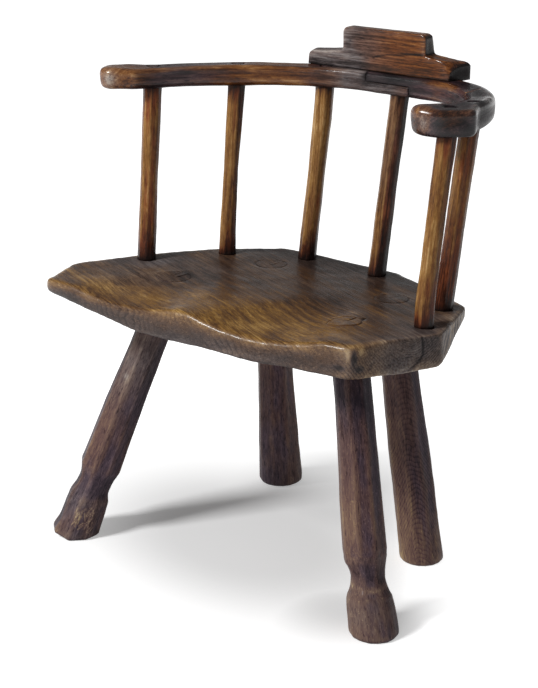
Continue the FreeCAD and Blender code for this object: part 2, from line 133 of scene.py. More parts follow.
def even_copy(node, voxel):
    """A new object with the node's shape on an even fine mesh."""
    piece = bpy.data.objects.new("worn_" + node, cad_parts[node].data.copy())
    show(piece)
    piece.data.materials.clear()
    remesh = piece.modifiers.new("even", "REMESH")
    remesh.mode = "VOXEL"
    remesh.voxel_size = voxel
    remesh.use_smooth_shade = True
    graph = bpy.context.evaluated_depsgraph_get()
    mesh = bpy.data.meshes.new_from_object(piece.evaluated_get(graph))
    piece.modifiers.clear()
    piece.data = mesh
    mesh.name = piece.name
    return piece


# Grain: each maker gives (along, across, across) in metres for points of a piece
def bar_frame(node):
    """A bar's lower end, and its unit directions along its longest extent and across it."""
    corners = np.array([v.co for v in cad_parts[node].data.vertices])
    middle = corners.mean(axis=0)
    along = np.linalg.svd(corners - middle, full_matrices=False)[2][0]
    along = along * np.sign(along[2])
    low = ((corners - middle) @ along).min()
    side = np.cross(along, (0.0, 1.0, 0.0))
    side /= np.linalg.norm(side)
    return middle + along * low, along, side, np.cross(along, side)


def bar_grain(co, node):
    start, along, side, across = bar_frame(node)
    local = co - start
    return np.stack([local @ along, local @ side, local @ across], axis=1)


PLANK_TURN = {"seat": math.radians(-22.5), "crest": 0.0}


def grain_axis(node):
    """The level direction that a plank's grain runs in."""
    turn = PLANK_TURN[node]
    return np.array((math.cos(turn), math.sin(turn), 0.0))


def plank_grain(co, node):
    turn = PLANK_TURN[node]
    along = co[:, 0] * math.cos(turn) + co[:, 1] * math.sin(turn)
    across = co[:, 1] * math.cos(turn) - co[:, 0] * math.sin(turn)
    return np.stack([along, across, co[:, 2]], axis=1)


ARM_LINES = {
    "left_arm": ((0.0163, 0.1851), -1, ((0.170, 15), (0.372, 70))),
    "right_arm": ((0.1113, 0.1851), 1, ((0.160, 125),)),
}
ARM_MIDDLE = 0.667
ARM_STEP = 0.002
LAP_RUN = 0.12
HAND_RUN = 0.10


def arm_line(node):
    """Points along the middle of an arm in plan, from the lap round to past the hand, and their runs."""
    start, side, bends = ARM_LINES[node]
    spot, heading = np.array([-LAP_RUN, 0.0]), 0.0
    places, runs = [], []
    length = sum(radius * math.radians(turn) for radius, turn in bends)
    run = -LAP_RUN
    while run < length + HAND_RUN:
        places.append((start[0] + side * spot[0], start[1] + spot[1]))
        runs.append(run)
        reached = 0.0
        for radius, turn in bends:
            if 0 <= run - reached < radius * math.radians(turn):
                heading += ARM_STEP / radius
            reached += radius * math.radians(turn)
        spot = spot + ARM_STEP * np.array([math.cos(heading), -math.sin(heading)])
        run += ARM_STEP
    return np.array(places), np.array(runs)


def arm_course(co, node):
    """The nearest place on an arm's line, its heading and its run, for each point."""
    places, runs = arm_line(node)
    ahead = np.gradient(places, axis=0) / ARM_STEP
    nearest = ((co[:, None, :2] - places[None]) ** 2).sum(axis=2).argmin(axis=1)
    return places[nearest], ahead[nearest], runs[nearest]


def arm_grain(co, node):
    place, ahead, run = arm_course(co, node)
    off = co[:, :2] - place
    along = run + (off * ahead).sum(axis=1)
    outward = -ARM_LINES[node][1] * (off[:, 0] * ahead[:, 1] - off[:, 1] * ahead[:, 0])
    return np.stack([along, outward, co[:, 2] - ARM_MIDDLE], axis=1)


# How each kind of piece is meshed and worn: its voxels, smoothing passes, swells and ripples, with heights in mm
KINDS = {
    "seat": dict(voxel=2.0, ease=9, swell=0.9, swell_size=0.07, ripple=0.2, grain=plank_grain),
    "legs": dict(voxel=1.8, ease=5, swell=0.5, swell_size=0.05, ripple=0.12, grain=bar_grain),
    "sticks": dict(voxel=1.5, ease=3, swell=0.5, swell_size=0.04, ripple=0.10, grain=bar_grain),
    "arms": dict(voxel=1.7, ease=9, swell=0.6, swell_size=0.05, ripple=0.12, grain=arm_grain),
    "crest": dict(voxel=1.6, ease=6, swell=0.5, swell_size=0.04, ripple=0.12, grain=plank_grain),
}
LEGS = ("front_left_leg", "front_right_leg", "rear_left_leg", "rear_right_leg")
LEFT_STICKS = ("left_front_stick", "left_middle_stick", "left_back_stick")
RIGHT_STICKS = ("right_back_stick", "right_middle_stick", "right_front_stick")
PIECES = {"seat": "seat", **dict.fromkeys(LEGS, "legs"), **dict.fromkeys(LEFT_STICKS + RIGHT_STICKS, "sticks"),
          "left_arm": "arms", "right_arm": "arms", "crest": "crest"}

# The height above which a piece is the end of a through tenon, and the finish that it takes there
TENON_LEVEL = {"legs": (0.37, "seat"), "sticks": (0.675, "arms")}
# How far up points and faces have to look to lie on that end
TENON_POINT, TENON_FACE = 0.5, 0.6
TENON_HOST = {**dict.fromkeys(LEGS, "seat"), **dict.fromkeys(LEFT_STICKS, "left_arm"),
              **dict.fromkeys(RIGHT_STICKS, "right_arm")}

# Where the heart of the tree lies, across the grain from each piece's own line, in metres
PITH = {"seat": (0.02, 0.42), "front_left_leg": (0.06, -0.12), "front_right_leg": (-0.06, 0.10),
        "rear_left_leg": (0.040, 0.010), "rear_right_leg": (-0.032, 0.041), "left_arm": (0.05, 0.02),
        "right_arm": (0.04, -0.03), "crest": (0.10, 0.78)}
STICK_PITH = (0.02, 0.015)

# How far the rings lean out along the grain, which draws them as arches on a flat side
ARCH = {"seat": 0.06, "rear_right_leg": 0.5, "front_right_leg": 0.03, "crest": 0.04}
ARCH_USUAL = 0.05
STRONG_FIGURE = {"rear_right_leg": 0.7}
# How far along the grain each piece is from the one before, so that no two share a figure
TREE_STEP = 3.1

# Patches, by piece and by what they push: their middle and their reach on each axis, in mm, and how much.
# Gold is rubbed and warm, or dark where negative, with painted highlights and painted shade in some patches; dry is
# grey and dull, with painted highlights and a painted sheen in some patches; tint leans to the second colour ramp, and
# push swells the surface, in mm.
# Places are in the row frame, and for arms (run from the lap, distance outside, height from the middle).
PATCHES = {
    ("seat", "gold_and_painted_light"): (
        ((-160, -170, 402), (120, 40, 12), 1.4), ((80, -150, 395), (150, 60, 20), 1.5),
        ((0, -210, 372), (400, 40, 22), -0.55), ((-200, -200, 375), (100, 50, 20), -0.4),
        ((275, 25, 380), (20, 40, 40), 0.9), ((60, 0, 390), (160, 70, 50), -0.35),
        ((-20, 180, 390), (420, 80, 50), -1.7), ((200, 60, 390), (100, 80, 50), -0.25),
        ((280, -90, 380), (40, 100, 20), 0.4), ((150, -210, 380), (90, 30, 20), -0.45),
        ((280, -90, 354), (50, 120, 10), 2.8), ((297, -55, 387), (20, 35, 12), -0.7),
        # Dark knots at the near right corner, and painted highlights on its ridge and just left of it (the patches of
        # 2.2 and 1.8)
        ((254.5, -178.4, 389), (4, 4, 9), -2.4), ((257.7, -172.4, 373.6), (6, 6, 4), -2.4),
        ((236.3, -186.4, 375.5), (7, 4, 3), -1.8), ((259.5, -169, 398), (4, 5, 6), 2.2),
        ((248, -183, 395), (4, 4, 10), 1.8), ((-280, -200, 375), (60, 40, 20), -1.0),
        ((-106.5, -33.2, 400), (30, 16, 30), -1.0), ((-139, -46.5, 400), (20, 10, 30), -0.8),
        ((-225, -213.1, 390), (30, 20, 20), -0.7), ((50, 60, 395), (50, 20, 30), -0.2),
        ((30, -190, 397), (60, 20, 10), 0.5),
    ),
    ("seat", "dry_and_painted_sheen"): (
        # The first is a painted sheen, grey across the back of the seat
        ((-20, 170, 390), (400, 60, 50), 0.4), ((-220, -20, 390), (100, 70, 50), 0.8),
        ((-190, -120, 400), (80, 60, 30), 0.4), ((280, -80, 370), (40, 130, 50), 1.0),
        ((275, 25, 380), (20, 50, 40), 1.0), ((50, -210, 365), (220, 50, 12), 0.6),
    ),
    ("seat", "push"): (
        ((-20, 200, 390), (220, 30, 50), 2.0), ((-270, -100, 410), (70, 90, 30), 1.2),
        ((-170, -200, 365), (90, 30, 15), -1.8), ((110, -200, 358), (30, 50, 15), 2.5),
        ((10, -200, 360), (50, 40, 15), -2.0), ((-220, -200, 375), (60, 40, 15), -1.5),
        ((280, -120, 355), (30, 40, 12), 2.0), ((-200, 90, 400), (80, 60, 50), 2.2),
        ((-100, 170, 390), (100, 40, 50), 1.5), ((-290, -140, 410), (40, 60, 30), 1.2),
        ((270, -60, 355), (50, 60, 15), 2.5), ((290, 0, 360), (30, 30, 15), 2.0),
    ),
    ("front_left_leg", "dry_and_painted_sheen"): (
        ((-250, -180, 30), (60, 60, 60), 0.55), ((-190, -120, 290), (60, 60, 70), 0.7),
        ((-186, -133, 254.8), (5, 10, 5), 0.5),
    ),
    ("front_left_leg", "gold_and_painted_light"): (
        ((-190, -120, 290), (60, 60, 70), 0.15), ((-220, -160, 200), (50, 50, 120), 0.35),
        ((-250, -180, 90), (60, 60, 20), -0.45), ((-186, -133, 254.8), (5, 10, 5), 1.0),
    ),
    ("front_right_leg", "gold_and_painted_light"): (
        ((260, -170, 160), (80, 80, 80), 0.2), ((220, -165, 155), (30, 30, 30), 0.7),
        # Darker high up under the seat: painted shade, with some dirt
        ((190, -110, 340), (80, 80, 75), -1.25), ((195, -100, 365), (60, 60, 30), -0.6),
        # The narrow pale patch 66 mm up is a painted highlight along the top edge of the hoof
        ((270, -170, 85), (80, 80, 12), -0.35), ((270, -170, 66), (80, 80, 3.5), 1.2),
        ((270, -180, 30), (80, 80, 40), 0.5),
    ),
    ("front_right_leg", "dry_and_painted_sheen"): (((180, -120, 270), (30, 30, 60), 0.5), ((270, -180, 40), (80, 80, 50), 0.3)),
    ("rear_left_leg", "dry_and_painted_sheen"): (((-140, 170, 20), (100, 100, 60), 0.3),),
    ("rear_left_leg", "gold_and_painted_light"): (((-120, 150, 220), (100, 100, 140), 0.3),),
    ("rear_right_leg", "gold_and_painted_light"): (
        ((190, 70, 20), (80, 80, 70), 1.2), ((160, 40, 200), (30, 100, 160), 0.5),
        ((190, 50, 280), (50, 100, 140), -0.25),
    ),
    # The dark patches 650 to 660 mm up, at the tops of the sticks, are painted shade under the arms
    ("left_front_stick", "gold_and_painted_light"): (((-130, 0, 650), (200, 200, 20), -0.6), ((-130, 0, 550), (200, 200, 120), 0.7)),
    ("left_front_stick", "tint"): (((-130, 0, 540), (1000, 1000, 1000), 0.13),),
    ("left_middle_stick", "gold_and_painted_light"): (((-130, 100, 650), (200, 200, 20), -1.2), ((-130, 100, 550), (200, 200, 120), 0.3)),
    ("left_back_stick", "gold_and_painted_light"): (((-50, 170, 580), (200, 200, 110), 1.5), ((-50, 170, 660), (200, 200, 20), -1.2)),
    ("right_back_stick", "gold_and_painted_light"): (((50, 170, 600), (200, 200, 160), -0.5), ((50, 170, 450), (200, 200, 70), -0.8)),
    ("right_back_stick", "dry_and_painted_sheen"): (((50, 170, 600), (200, 200, 100), 0.3),),
    ("right_middle_stick", "gold_and_painted_light"): (((250, 100, 420), (200, 200, 50), -0.7), ((250, 100, 550), (200, 200, 120), 0.25)),
    ("right_middle_stick", "tint"): (((250, 100, 540), (1000, 1000, 1000), 0.15),),
    ("right_front_stick", "gold_and_painted_light"): (((260, 0, 650), (200, 200, 30), -0.6), ((260, 0, 550), (200, 200, 120), 0.85)),
    ("right_front_stick", "tint"): (((260, 0, 540), (1000, 1000, 1000), 0.15),),
    ("left_arm", "gold_and_painted_light"): (
        # The small patch at 400 mm, with the dry patch like it, is a painted highlight on the hand's tip
        ((390, 0, 0), (50, 80, 50), 0.2), ((400, 3, 0), (12, 9, 12), 1.4), ((290, 0, 0), (60, 80, 50), -0.5),
        ((150, 0, 0), (70, 80, 50), 0.3), ((10, 0, 0), (50, 80, 50), 0.8),
    ),
    ("left_arm", "dry_and_painted_sheen"): (
        # The first, with the gold patch like it, is a painted highlight on the hand's tip
        ((400, 3, 0), (12, 9, 12), 1.0), ((0, 0, 0), (55, 80, 50), 1.8), ((300, 0, 0), (50, 80, 50), 0.3),
    ),
    ("left_arm", "tint"): (((150, 0, 0), (70, 80, 50), -0.2), ((290, 0, 0), (60, 80, 50), 0.15)),
    ("left_arm", "push"): (((250, 0, -20), (100, 60, 12), 2.4), ((395, 0, 12), (30, 60, 20), 2.6)),
    ("right_arm", "dry_and_painted_sheen"): (
        # The last, with the gold patch at 310 mm, is a painted highlight on the front of the hand
        ((190, 35, -5), (90, 20, 30), 1.3), ((-60, 0, 0), (50, 80, 50), 0.4), ((310, -6, 3), (12, 8, 12), 0.9),
    ),
    ("right_arm", "tint"): (((320, 0, 0), (50, 60, 40), -0.2),),
    ("right_arm", "gold_and_painted_light"): (
        ((-60, 0, 0), (60, 80, 50), -0.6), ((180, 20, 0), (140, 60, 60), -1.9), ((340, 20, -10), (60, 80, 50), -0.9),
        ((120, -15, 12), (50, 14, 12), -1.0), ((-45, -18, 12), (30, 20, 8), -1.1), ((300, 10, 0), (20, 8, 20), -1.0),
        # The last, with the dry patch at 310 mm, is a painted highlight on the front of the hand
        ((305, 22, 4), (20, 8, 12), 0.9), ((310, -6, 3), (12, 8, 12), 2.6),
    ),
    ("right_arm", "push"): (
        ((340, 0, 0), (50, 90, 60), 1.6), ((315, -20, 12), (30, 25, 20), 3.4), ((288, -14, 19), (30, 14, 10), 2.6),
        ((100, 0, 20), (100, 60, 12), 1.6), ((170, 30, 10), (110, 30, 30), 3.0),
    ),
    ("crest", "dry_and_painted_sheen"): (((-65, 180, 700), (72, 60, 60), 2.4),),
    ("crest", "gold_and_painted_light"): (
        ((-40, 180, 700), (60, 60, 60), 0.6), ((70, 170, 720), (70, 60, 50), 0.4),
        ((175, 190, 700), (20, 60, 50), -1.6),
    ),
    ("crest", "tint"): (((80, 170, 720), (80, 60, 50), -0.2),),
}

# Cracks and chips, in mm: points along each on the surface, and its half-width and depth
CRACKS = {
    "seat": (
        (((292.3, -79.1, 400.7), (292.9, -78.2, 388.2), (292.9, -78.7, 376), (289.7, -87.5, 366.6),
          (285.4, -99.3, 360), (279, -115, 357)), 1.7, 1.4),
        (((186.9, -63.2, 400.6), (189, -70, 400.9)), 2.2, 1.6),
    ),
    "crest": (
        (((26, 175.1, 701.4), (39.9, 175.1, 705.8), (53.9, 175, 708.4), (73, 174.6, 709.8), (93.3, 174.1, 712.7),
          (112, 174, 714)), 1.0, 0.7),
    ),
    "right_arm": (
        (((220.6, 133.4, 681), (223.4, 149.3, 681)), 1.5, 0.6),
        (((217, 123, 681), (225, 129, 681)), 1.5, 0.6),
    ),
}
CRACK_REACH = 0.006
# Pieces whose marks are scuffed pale instead of filled with dirt
SCUFFED = ("right_arm",)

# Pale scratches on the left foot, in mm: their middle along the leg and round it, their spread, length and number
SCRATCHES = {"front_left_leg": ((48, 6), (16, 16), 12, 26)}
SCRATCH_HALF = 0.75
SCRATCH_LEAN = (-0.44, 0.66)
SCRATCH_SHARE = (0.3, 0.6)
SCRATCH_ROUND = 1.2
SCRATCH_SEED = 5

BVH = {node: BVHTree.FromObject(obj, bpy.context.evaluated_depsgraph_get())
       for node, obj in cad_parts.items()}
GRIME_REACH = 0.03
GRIME_FADE = 0.006
PATCH_USUAL, PATCH_SPREAD, PATCH_GRAIN = 0.85, 0.5, 0.03


def nearness(co, node):
    """How close each point is to another piece, from 0 to 1."""
    nearest = np.full(len(co), GRIME_REACH)
    for other in PIECES:
        if other == node:
            continue
        low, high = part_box(other)
        inside = np.all((co > np.array(low) - GRIME_REACH) & (co < np.array(high) + GRIME_REACH), axis=1)
        for k in np.flatnonzero(inside):
            found = BVH[other].find_nearest(Vector(co[k]), nearest[k])
            if found[3] is not None:
                nearest[k] = found[3]
    return np.exp(-nearest / GRIME_FADE)


def patch_sum(channel, node, places, seed):
    """The patches of one channel at points, broken up by noise."""
    total = np.zeros(len(places))
    for middle, reach, amount in PATCHES.get((node, channel), ()):
        away = (((places / MM - np.array(middle)) / np.array(reach)) ** 2).sum(axis=1)
        total += amount * np.exp(-away)
    return total if channel == "push" else total * (PATCH_USUAL + PATCH_SPREAD * noise(places, PATCH_GRAIN, seed))


def crack_depth(co, normals, node):
    """How deep each point lies in a crack of its piece, from 0 to 1, and in mm."""
    share, depth = np.zeros(len(co)), np.zeros(len(co))
    for points, half, deep in CRACKS.get(node, ()):
        points = np.array(points) * MM
        for low, high in zip(points[:-1], points[1:]):
            step = high - low
            along = np.clip(((co - low) @ step) / (step @ step), 0, 1)
            off = co - low - along[:, None] * step
            out = (off * normals).sum(axis=1)
            flat = np.linalg.norm(off - out[:, None] * normals, axis=1)
            here = np.exp(-(flat / (half * MM)) ** 2) * (np.abs(out) < CRACK_REACH)
            share = np.maximum(share, here)
            depth = np.maximum(depth, here * deep)
    return share, depth


def scratches(grain, node):
    """How strongly each point of a leg is scratched, from 0 to 1."""
    total = np.zeros(len(grain))
    if node not in SCRATCHES:
        return total
    (height, turn), (high, wide), length, number = SCRATCHES[node]
    start, _, side, across = bar_frame(node)
    toward = np.array(CAMERA_PLACE) - start
    front = math.atan2(toward @ across, toward @ side)
    angle = np.arctan2(grain[:, 2], grain[:, 1]) - front
    angle = (angle + math.pi) % (2 * math.pi) - math.pi
    flat = np.stack([grain[:, 0] / MM, angle * np.hypot(grain[:, 1], grain[:, 2]) / MM], axis=1)
    for k in range(number):
        draw = lattice(np.array([[k, 0, 0], [k, 1, 0], [k, 2, 0], [k, 3, 0]]), SCRATCH_SEED)
        middle = np.array((height + high * (2 * draw[0] - 1), turn + wide * (2 * draw[1] - 1)))
        lean = np.interp(draw[2], (0, 1), SCRATCH_LEAN)
        step = np.array((math.cos(lean), math.sin(lean)))
        off = flat - middle
        half = length * np.interp(draw[3], (0, 1), SCRATCH_SHARE)
        reach = np.clip(off @ step, -half, half)
        gap = np.linalg.norm(off - reach[:, None] * step, axis=1)
        total = np.maximum(total, np.exp(-(gap / SCRATCH_HALF) ** 2))
    return total * (np.abs(angle) < SCRATCH_ROUND)


SEAT_TOP_FACING = 0.9
SEAT_TOP_MARGIN = 30
SEAT_TOP_INNER = (0.75, 1.0)
SEAT_TOP_PASSES = 90
SEAT_TOP_CLEAR = 0.05


def blend_seat_top(skin, near):
    """Eases the hollows of the seat into its top, away from its edges and tenons."""
    top = (skin.normals()[:, 2] > SEAT_TOP_FACING).astype(float)
    inner = np.interp(skin.smoothed(top, SEAT_TOP_MARGIN), SEAT_TOP_INNER, (0, 1)) * (near < SEAT_TOP_CLEAR)
    skin.co = skin.smoothed(skin.co, SEAT_TOP_PASSES, inner)
    skin.write()


# The legs' half-widths to the left and right of their lines, as the camera sees them, at heights along them, in mm
LEG_SIDES = {
    "front_left_leg": (
        (28, 54, *range(66, 133, 6), 170, 210, 250, 290, 320),
        (32.4, 32.4, 32.5, 32.4, 31.3, 29.4, 27.6, 26.8, 26.3, 26.8, 28.5, 30.7, 32.3, 32.2, 31.6, 31.2, 30.3, 28.1,
         26.4),
        (32.6, 31.4, 30.8, 30.3, 29.5, 26.9, 24.5, 24.1, 24.5, 25.1, 26.1, 27.7, 28.5, 28.9, 28.0, 26.9, 25.7, 24.9,
         24.6)),
    "front_right_leg": (
        (24, 42, *range(54, 121, 6), 150, 190, 230, 270, 320),
        (33.0, 33.0, 32.7, 32.3, 30.7, 27.6, 25.4, 24.4, 23.6, 24.6, 26.7, 30.1, 31.2, 31.0, 30.7, 29.3, 27.0, 25.2,
         23.4),
        (34.4, 33.2, 31.4, 30.4, 28.0, 25.7, 23.9, 22.6, 22.9, 23.6, 25.0, 26.3, 27.9, 28.1, 28.1, 27.6, 27.6, 27.2,
         27.0)),
    "rear_left_leg": (
        (24, 48, 84, 120, 150, 190, 210, 250),
        (33.4, 32.9, 31.9, 30.6, 29.6, 28.8, 28.5, 27.5),
        (35.0, 33.8, 31.9, 30.6, 29.1, 27.2, 26.2, 25.5)),
    "rear_right_leg": (
        (18, 48, 84, 120, 150, 190, 230, 270, 300),
        (32.0, 31.5, 30.5, 29.8, 29.7, 29.2, 28.7, 27.4, 26.6),
        (30.9, 29.9, 29.2, 29.5, 28.8, 27.8, 26.3, 24.8, 24.2)),
}
# Where the sole is worn away on the left: from where, to where, and how much at the most
WORN_CORNER = {"front_left_leg": (2 * MM, 34 * MM, 9 * MM)}
# How far a foot stands out towards the camera from its leg's line
FOOT_FORWARD = {"rear_right_leg": 8 * MM, "front_left_leg": 5 * MM}
FORWARD_TOP = 0.14
LEG_BIN = 0.004
FOOT_ROUND = dict(zip(LEGS, (8, 10, 10, 8)))
FOOT_ROUNDER = {"front_right_leg": (0.05, 0.08), "rear_left_leg": (0.04, 0.10), "rear_right_leg": (0.04, 0.10)}
FOOT_TOP = {"front": (0.105, 0.125), "rear": (0.025, 0.045)}
LEG_FADE = (0.362, 0.384)
TENON_FADE = (0.380, 0.392)
TENON_SPREAD = 0.10
TENON_PROUD = 0.25 * MM

# How far pieces stand off to the left of the camera's view, in mm, at heights in metres
LEANS = {
    "left_middle_stick": ((0.39, 0.46, 0.54, 0.60, 0.66), (1.4, 2.2, 2.2, 1.2, 0.0)),
    "left_front_stick": ((0.39, 0.54, 0.66), (0.8, 0.6, 0.2)),
    "right_back_stick": ((0.39, 0.54, 0.66), (1.6, 1.2, 0.4)),
    "right_front_stick": ((0.385, 0.43, 0.54, 0.66), (2.0, 4.0, 2.0, -1.4)),
    "left_back_stick": ((0.39, 0.50, 0.60, 0.66), (0.6, -0.8, -2.0, -1.0)),
}
ARM_SAG = 1.7 * MM
ARM_HALF = 0.012
HAND_SLIDE = 6 * MM
HAND_OUTSIDE = (0.004, 0.018)
HAND_FROM = (0.22, 0.27)
HAND_TO = (0.32, 0.37)
CREST_STRETCH = 0.035
CREST_FROM = 0.02


def rise(value, low, high):
    """A smooth step from 0 at low to 1 at high."""
    part = np.clip((value - low) / (high - low), 0, 1)
    return part * part * (3 - 2 * part)


ROUND_STEPS = 36
ROUND_REACH = 4
ROUND_FROM = 7


def rounding(height, aside, back):
    """How much each point of a leg grows or shrinks about its line to make the leg round."""
    rows = np.maximum((height / LEG_BIN).astype(int), ROUND_FROM)
    angle = np.arctan2(back, aside) / (2 * math.pi) % 1 * ROUND_STEPS
    columns = angle.astype(int) % ROUND_STEPS
    wall = np.zeros((rows.max() + 1, ROUND_STEPS))
    np.maximum.at(wall, (rows, columns), np.hypot(aside, back))
    wall = wall[ROUND_FROM:]
    rows = rows - ROUND_FROM
    wall = np.where(wall > 0, wall, wall.max(axis=1, keepdims=True))
    shifts = range(-ROUND_REACH, ROUND_REACH + 1)
    change = sum(np.roll(wall, k, axis=1) for k in shifts) / len(shifts) / wall
    low = np.floor(angle - 0.5).astype(int)
    part = angle - 0.5 - low
    return change[rows, low % ROUND_STEPS] * (1 - part) + change[rows, (low + 1) % ROUND_STEPS] * part


def fit_leg(skin, node):
    """Rounds a leg's foot and gives the leg its worn widths along its length."""
    start, along, _, _ = bar_frame(node)
    flat = skin.co[:, 2].copy()
    height = (skin.co - start) @ along
    skin.co = skin.smoothed(skin.co, FOOT_ROUND[node], 1 - rise(height, *FOOT_TOP[node.split("_")[0]]))
    left = np.cross(along, np.array(CAMERA_TARGET - CAMERA_PLACE))
    left *= np.sign(left @ np.array(IMAGE_LEFT)) / np.linalg.norm(left)
    deep = np.cross(along, left)
    local = skin.co - start
    height, aside, back = local @ along, local @ left, local @ deep
    if node in FOOT_ROUNDER:
        grow = rounding(height, aside, back)
        grow = 1 + (grow - 1) * (1 - rise(height, *FOOT_ROUNDER[node]))
        aside, back = aside * grow, back * grow
    bins = np.maximum((height / LEG_BIN).astype(int), 0)
    sides = []
    for sign in (1, -1):
        widest = np.zeros(bins.max() + 1)
        np.maximum.at(widest, bins, sign * aside)
        sides.append(np.convolve(np.pad(widest, 1, "edge"), np.ones(3) / 3, "valid"))
    heights, lefts, rights = (np.array(values) * MM for values in LEG_SIDES[node])
    level = np.maximum(height, heights[0])
    middles = (np.arange(len(sides[0])) + 0.5) * LEG_BIN
    own_left, own_right = (np.interp(level, middles, widest) for widest in sides)
    new_left, new_right = np.interp(level, heights, lefts), np.interp(level, heights, rights)
    share = 1 - rise(height, *LEG_FADE)
    wider = 1 + share * ((new_left + new_right) / (own_left + own_right) - 1)
    shift = share * ((new_left - new_right) - (own_left - own_right) * wider) / 2
    wider = wider * (1 + TENON_SPREAD * rise(skin.co[:, 2], *TENON_FADE))
    skin.co = start + np.outer(height, along) + np.outer(aside * wider + shift, left) + np.outer(back * wider, deep)
    skin.co[:, 2] = np.where(flat < 1 * MM, np.maximum(flat, 0), np.maximum(skin.co[:, 2], 0))
    skin.co[:, 2] += TENON_PROUD * rise(skin.co[:, 2], *TENON_FADE)
    if node in FOOT_FORWARD:
        forward = FOOT_FORWARD[node] * (1 - rise(skin.co[:, 2], 0.0, FORWARD_TOP))
        skin.co += np.outer(forward, (-IMAGE_LEFT[1], IMAGE_LEFT[0], 0.0))
    if node in WORN_CORNER:
        low, high, lift = WORN_CORNER[node]
        worn = np.clip((aside - low) / (high - low), 0, 1)
        skin.co[:, 2] += lift * worn * (1 - rise(skin.co[:, 2], 0.0, 4 * lift))


# Painted light and shade: how much lighter a stick or leg is on its left, the side the lamp lights, than on its right
PAINTED_SIDE_LIGHT = {"right_back_stick": 1.5, "left_middle_stick": 0.9, "left_back_stick": 0.6, "right_front_stick": 0.4,
             "front_left_leg": 0.4, "front_right_leg": 0.5, "rear_right_leg": 0.4}

# Painted shade along a leg's left edge: how much lighter, or darker where negative, a leg is along its left edge
PAINTED_RIM_SHADE = {"front_left_leg": -1.0}

# How much quieter a leg's figure is than usual, from 0 to 1
QUIET = {"front_right_leg": 0.6}

# Where hands and use have rounded a piece further, from 0 to 1
SOFTENED = {
    "seat": lambda co, grain: (1 - rise(co[:, 1], -0.17, -0.13)) * rise(co[:, 2], 0.370, 0.385),
    "right_arm": lambda co, grain: rise(grain[:, 0], 0.27, 0.31),
    "left_arm": lambda co, grain: rise(grain[:, 0], 0.35, 0.385),
    "crest": lambda co, grain: 1 - rise(co[:, 0], -0.06, -0.03),
}
SOFT_PASSES = {"seat": 40, "right_arm": 16, "left_arm": 16, "crest": 16}


def shape_piece(skin, node, grain):
    """Gives a piece its hand-made form: worn feet, slight bends and fuller arms."""
    if node.endswith("leg"):
        fit_leg(skin, node)
    if node in LEANS:
        heights, offsets = LEANS[node]
        shift = np.interp(skin.co[:, 2], heights, offsets) * MM
        skin.co = skin.co + shift[:, None] * np.array(IMAGE_LEFT)
    if node.endswith("arm"):
        skin.co[:, 2] -= ARM_SAG * np.clip(-grain[:, 2] / ARM_HALF, 0, 1)
    if node == "right_arm":
        slide = HAND_SLIDE * rise(grain[:, 1], *HAND_OUTSIDE)
        slide *= rise(grain[:, 0], *HAND_FROM) * (1 - rise(grain[:, 0], *HAND_TO))
        skin.co[:, :2] -= slide[:, None] * arm_course(skin.co, node)[1]
    if node == "crest":
        skin.co[:, 0] += CREST_STRETCH * np.maximum(skin.co[:, 0] - CREST_FROM, 0)
    skin.write()


# Roughening: how wear sets in away from a neighbour, and the seeds and sizes of the unevenness
FREE_SLOPE = 1.4
HELD = 0.05
FINER = 2.6
RIPPLE_SIZE = (0.09, 0.007, 0.007)
SWELL_SEED, FINER_SEED, RIPPLE_SEED, DRY_AND_PAINTED_SHEEN_SEED, GOLD_AND_PAINTED_LIGHT_SEED, TINT_SEED = 10, 40, 70, 100, 130, 160
SOLE = 2 * MM


def roughen(skin, node, index, grain, places, free):
    """Gives a piece its uneven surface, pushes and cracks, and says how cracked each point is."""
    how = KINDS[PIECES[node]]
    normals = skin.normals()
    lift = how["swell"] * MM * noise(skin.co, how["swell_size"], SWELL_SEED + index)
    lift += how["swell"] / 2 * MM * noise(skin.co, how["swell_size"] / FINER, FINER_SEED + index)
    lift += how["ripple"] * MM * noise(grain, RIPPLE_SIZE, RIPPLE_SEED + index)
    lift *= free
    lift += MM * patch_sum("push", node, places, 0)
    crack, deep = crack_depth(skin.co, normals, node)
    lift -= MM * deep
    lift[skin.co[:, 2] < SOLE] = 0
    skin.co = skin.co + normals * lift[:, None]
    skin.write()
    return crack


# Marks: how far the surface around is averaged, and the hollows and ridges that count in full
PROUD_PASSES = 24
HOLLOW = 0.8 * MM
RIDGE = 0.45 * MM
RIDGE_MOST = 1.5
WEAR_PASSES = 5
WEAR_LEVEL, WEAR_RISE, WEAR_LEAST = 0.75, 1.2, 0.1
# Grime: lost where hands and seats rub, gained in hollows, and what is left on tenon ends
GRIME_RUBBED, GRIME_FACING, GRIME_HOLLOW, GRIME_TOP = 0.75, (0.5, 1.0), 0.4, 0.15
# Amounts of gold or dryness, with the facings or heights between which each comes in
FRONT_DRY, FRONT_DRY_FACING = 0.3, (0.3, 0.8)
CREST_END_DARK, CREST_END_FACING = 2.4, (0.6, 0.9)
SCUFF_GOLD, SCRATCH_GOLD = 3.0, 2.2
# The facings between which the painted shade along a leg's left edge comes in
PAINTED_RIM_FACING = (0.7, 0.95)
STICK_FOOT_DARK, STICK_FOOT = 1.3, (0.395, 0.44)
# The seat: its end grain, the facet at its far right with bolder rings, and its calm front face
SEAT_END, END_FACING = 0.6, (2 / 3, 1.0)
FAR_FACET, FAR_FACING = np.array((0.92, 0.39, 0.0)), (0.96, 0.99)
FAR_END, FAR_FIGURE = 1.7, 0.35
CALM_FACING = (0.3, 0.7)
RIGHT_WEAR, RIGHT_FACING = 0.6, (0.3, 0.6)


